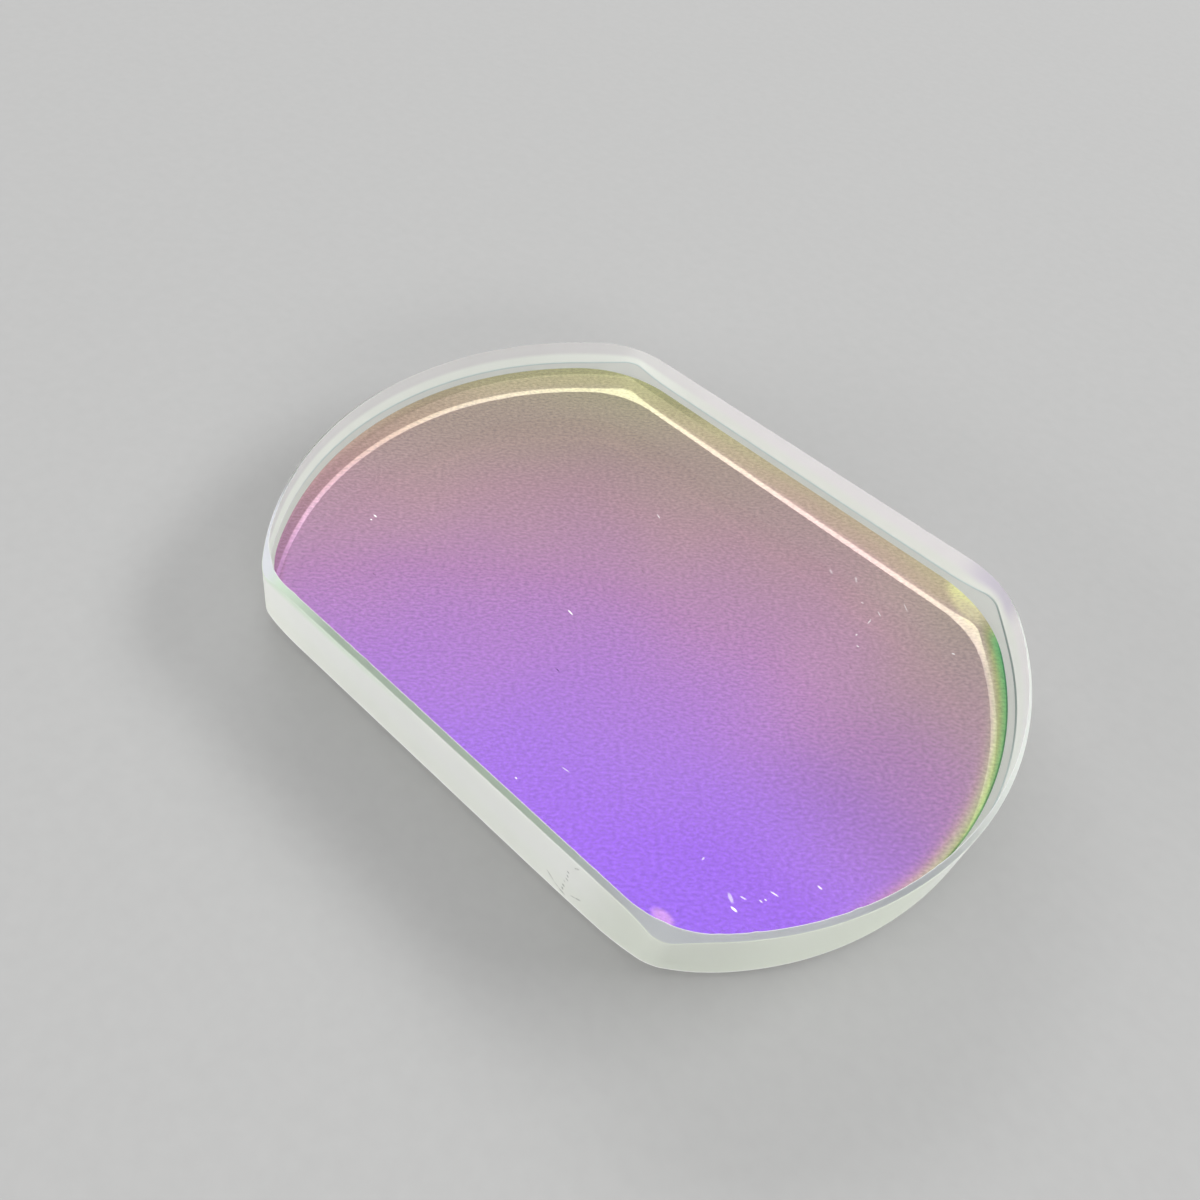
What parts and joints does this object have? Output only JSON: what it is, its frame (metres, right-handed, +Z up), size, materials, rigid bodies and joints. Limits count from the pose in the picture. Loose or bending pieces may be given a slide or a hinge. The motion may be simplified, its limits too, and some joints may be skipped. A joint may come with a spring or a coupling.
{
  "type": "optical filter",
  "caption": "Thick glass filter plate with a double-D outline: two parallel ground flats, two round ends, bevelled edges, and a colour-selecting coating on its lower polished face.",
  "frame": {"origin": "middle of the lower, coated face, where the plate rests", "axes": "+Z up through the plate's thickness, +X along its length between the round ends, +Y square to the two ground flats"},
  "size_m": [0.06, 0.045, 0.006],
  "materials": {
    "coated_glass": "polished faces, violet to grey-gold dichroic coating underneath, fine-ground wall and bevels"
  },
  "bodies": {
    "root": {"filter_plate": "coated_glass"}
  },
  "joints": []
}
